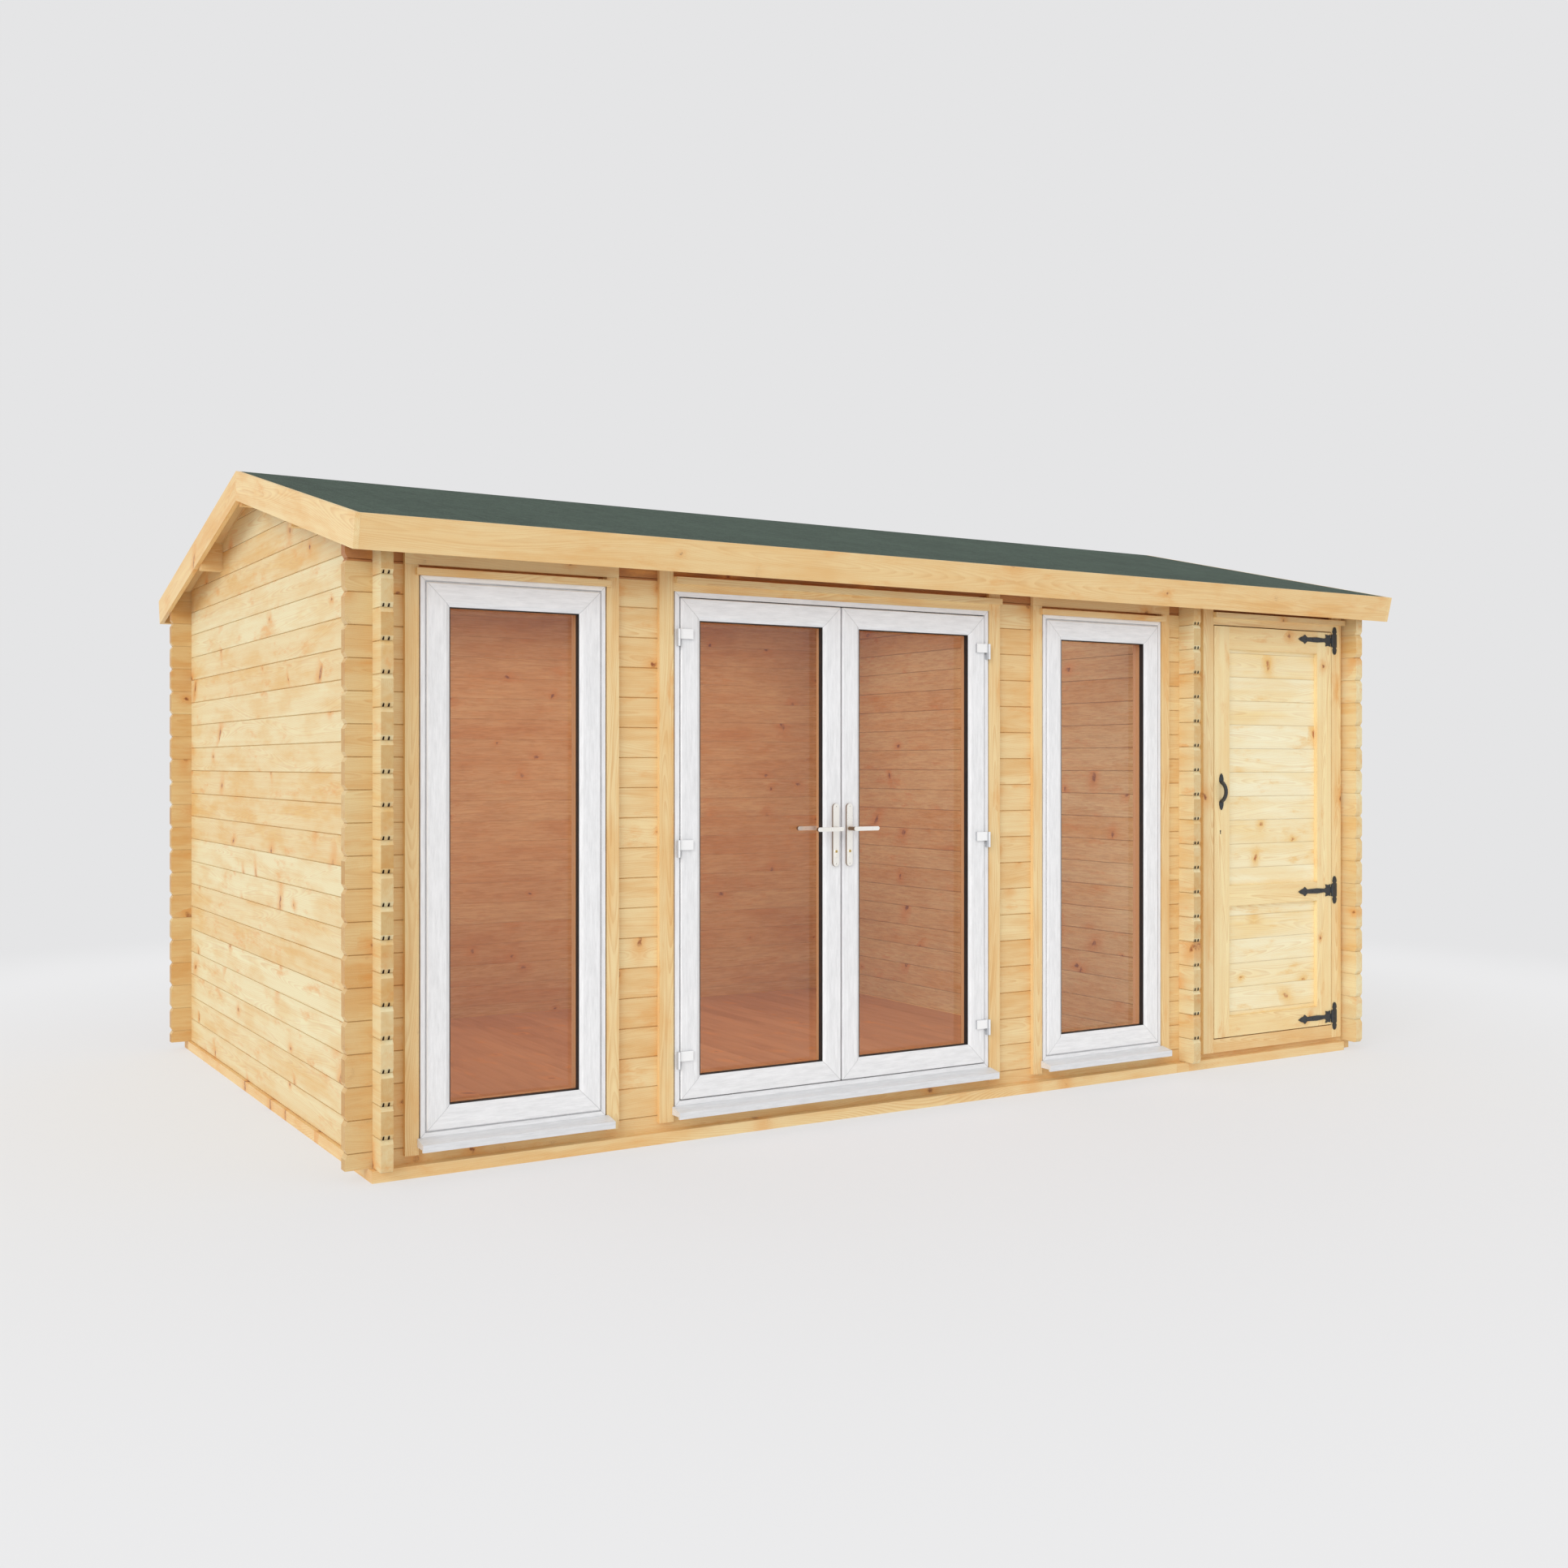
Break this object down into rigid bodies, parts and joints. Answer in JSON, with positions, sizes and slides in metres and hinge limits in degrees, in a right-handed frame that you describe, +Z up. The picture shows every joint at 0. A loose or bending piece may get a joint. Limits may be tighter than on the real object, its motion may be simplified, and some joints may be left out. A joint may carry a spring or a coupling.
{
  "type": "log cabin",
  "caption": "Apex roof log cabin of interlocking pine logs with white glazed double doors between full height windows and a side store with a framed boarded door.",
  "frame": {"origin": "on the ground under the middle of the roof", "axes": "+X along the front to the right as seen from outside, -Y to the front, +Z up"},
  "size_m": [5.2666, 3.426, 2.6859],
  "materials": {
    "log_pine": "planed pine logs, satin",
    "trim_pine": "planed pine trim, satin",
    "board_pine": "planed pine boards, satin",
    "roof_board_pine": "planed roof boards",
    "floor_pine": "pine floor boards",
    "roof_felt": "green mineral felt, rough",
    "white_upvc": "white plastic with a wood grain foil, satin",
    "glass": "clear double glazing",
    "black_seal": "black seal, satin",
    "handle_metal": "satin metal",
    "black_iron": "black powder coat"
  },
  "bodies": {
    "cabin": {"back_fascia": "board_pine", "back_purlin": "log_pine", "back_wall": "log_pine", "door_casing": "trim_pine", "door_cill": "white_upvc", "door_frame": "white_upvc", "door_frame_hinges": "white_upvc", "drip_strips": "trim_pine", "floor_joists": "floor_pine", "front_door_piers": "log_pine", "front_fascia": "board_pine", "front_head_logs": "log_pine", "front_left_pier": "log_pine", "front_partition_pier": "log_pine", "front_purlin": "log_pine", "front_right_pier": "log_pine", "front_sill_log": "log_pine", "ground_bearers": "board_pine", "left_verge_boards": "board_pine", "left_wall": "log_pine", "left_window_cill": "white_upvc", "left_window_frame": "white_upvc", "main_floor": "floor_pine", "partition_wall": "log_pine", "ridge_purlin": "log_pine", "right_verge_boards": "board_pine", "right_wall": "log_pine", "right_window_cill": "white_upvc", "right_window_frame": "white_upvc", "roof_deck_back": "roof_board_pine", "roof_deck_front": "roof_board_pine", "roof_felt_back": "roof_felt", "roof_felt_front": "roof_felt", "store_casing": "trim_pine", "store_door_frame": "trim_pine", "store_floor": "floor_pine", "store_hinge_plates": "black_iron", "window_casings": "trim_pine", "window_gaskets": "black_seal", "window_glass": "glass"},
    "left_leaf": {"left_leaf_frame": "white_upvc", "left_leaf_gasket": "black_seal", "left_leaf_glass": "glass", "left_leaf_handle_plates": "handle_metal", "left_leaf_hinges": "white_upvc"},
    "left_lever": {"left_lever": "handle_metal"},
    "right_leaf": {"right_leaf_frame": "white_upvc", "right_leaf_gasket": "black_seal", "right_leaf_glass": "glass", "right_leaf_handle_plates": "handle_metal", "right_leaf_hinges": "white_upvc"},
    "right_lever": {"right_lever": "handle_metal"},
    "store_leaf": {"store_leaf_boards": "trim_pine", "store_leaf_frame": "trim_pine", "store_leaf_pull": "black_iron", "store_leaf_straps": "black_iron"}
  },
  "joints": [
    {"name": "left_leaf_hinge", "type": "hinge", "parent": "cabin", "child": "left_leaf", "pos_m": [-1.34, -1.563, 1.1185], "axis": [0, 0, -1], "range_deg": [0, 100]},
    {"name": "right_leaf_hinge", "type": "hinge", "parent": "cabin", "child": "right_leaf", "pos_m": [0.17, -1.563, 1.1185], "axis": [0, 0, 1], "range_deg": [0, 100]},
    {"name": "store_leaf_hinge", "type": "hinge", "parent": "cabin", "child": "store_leaf", "pos_m": [2.3795, -1.5543, 1.1], "axis": [0, 0, 1], "range_deg": [0, 100]},
    {"name": "left_lever_turn", "type": "hinge", "parent": "left_leaf", "child": "left_lever", "pos_m": [-0.61825, -1.554, 1.181], "axis": [0, -1, 0], "range_deg": [0, 40], "stiffness_Nm_per_rad": 2, "springref_deg": -28.65},
    {"name": "right_lever_turn", "type": "hinge", "parent": "right_leaf", "child": "right_lever", "pos_m": [-0.55175, -1.554, 1.181], "axis": [0, 1, 0], "range_deg": [0, 40], "stiffness_Nm_per_rad": 2, "springref_deg": -28.65}
  ]
}
